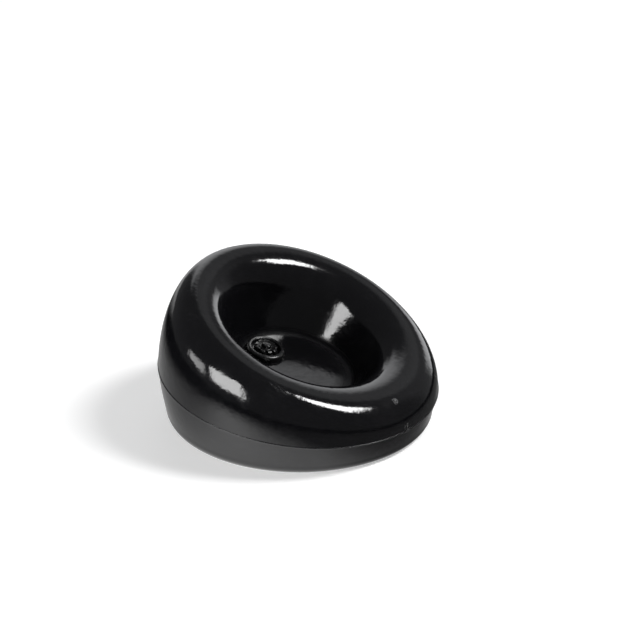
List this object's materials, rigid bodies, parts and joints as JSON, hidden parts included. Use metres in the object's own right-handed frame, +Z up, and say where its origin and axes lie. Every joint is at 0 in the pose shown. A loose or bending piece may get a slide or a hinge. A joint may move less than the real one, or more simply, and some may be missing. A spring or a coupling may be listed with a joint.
{
  "type": "case opening friction ball",
  "caption": "Hollow black rubber friction ball lying with its air let out: a round tub with a fat, slanted rolled rim round a deep cup, with an air valve in the cup's floor.",
  "frame": {"origin": "centre of the flat base", "axes": "+Z up, square to the base; +X towards the low side of the rim; the object is symmetric about the XZ plane"},
  "size_m": [0.0649, 0.0652, 0.0342],
  "materials": {
    "lower_skin": "glossy moulded black rubber",
    "upper_skin": "glossy moulded black rubber",
    "cement": "fine flash of cured black rubber cement",
    "valve": "glossy moulded black rubber",
    "stopper": "glossy moulded black rubber, harder than the skin",
    "flap": "thin cut black rubber sheet"
  },
  "bodies": {
    "ball": {"lower_shell": "lower_skin", "upper_shell": "upper_skin", "seam_cement": "cement", "valve_body": "valve"},
    "stopper": {"valve_plug": "stopper"},
    "flap": {"valve_flap": "flap"}
  },
  "joints": [
    {"name": "stopper_pull", "type": "slide", "parent": "ball", "child": "stopper", "axis": [0.2588, 0, 0.9659], "range_m": [0, 0.0045]},
    {"name": "flap_swing", "type": "hinge", "parent": "ball", "child": "flap", "pos_m": [-0.01307, 0, 0.00918], "axis": [0, 1, 0], "range_deg": [0, 50], "stiffness_Nm_per_rad": 0.00002, "springref_deg": -11.46}
  ]
}
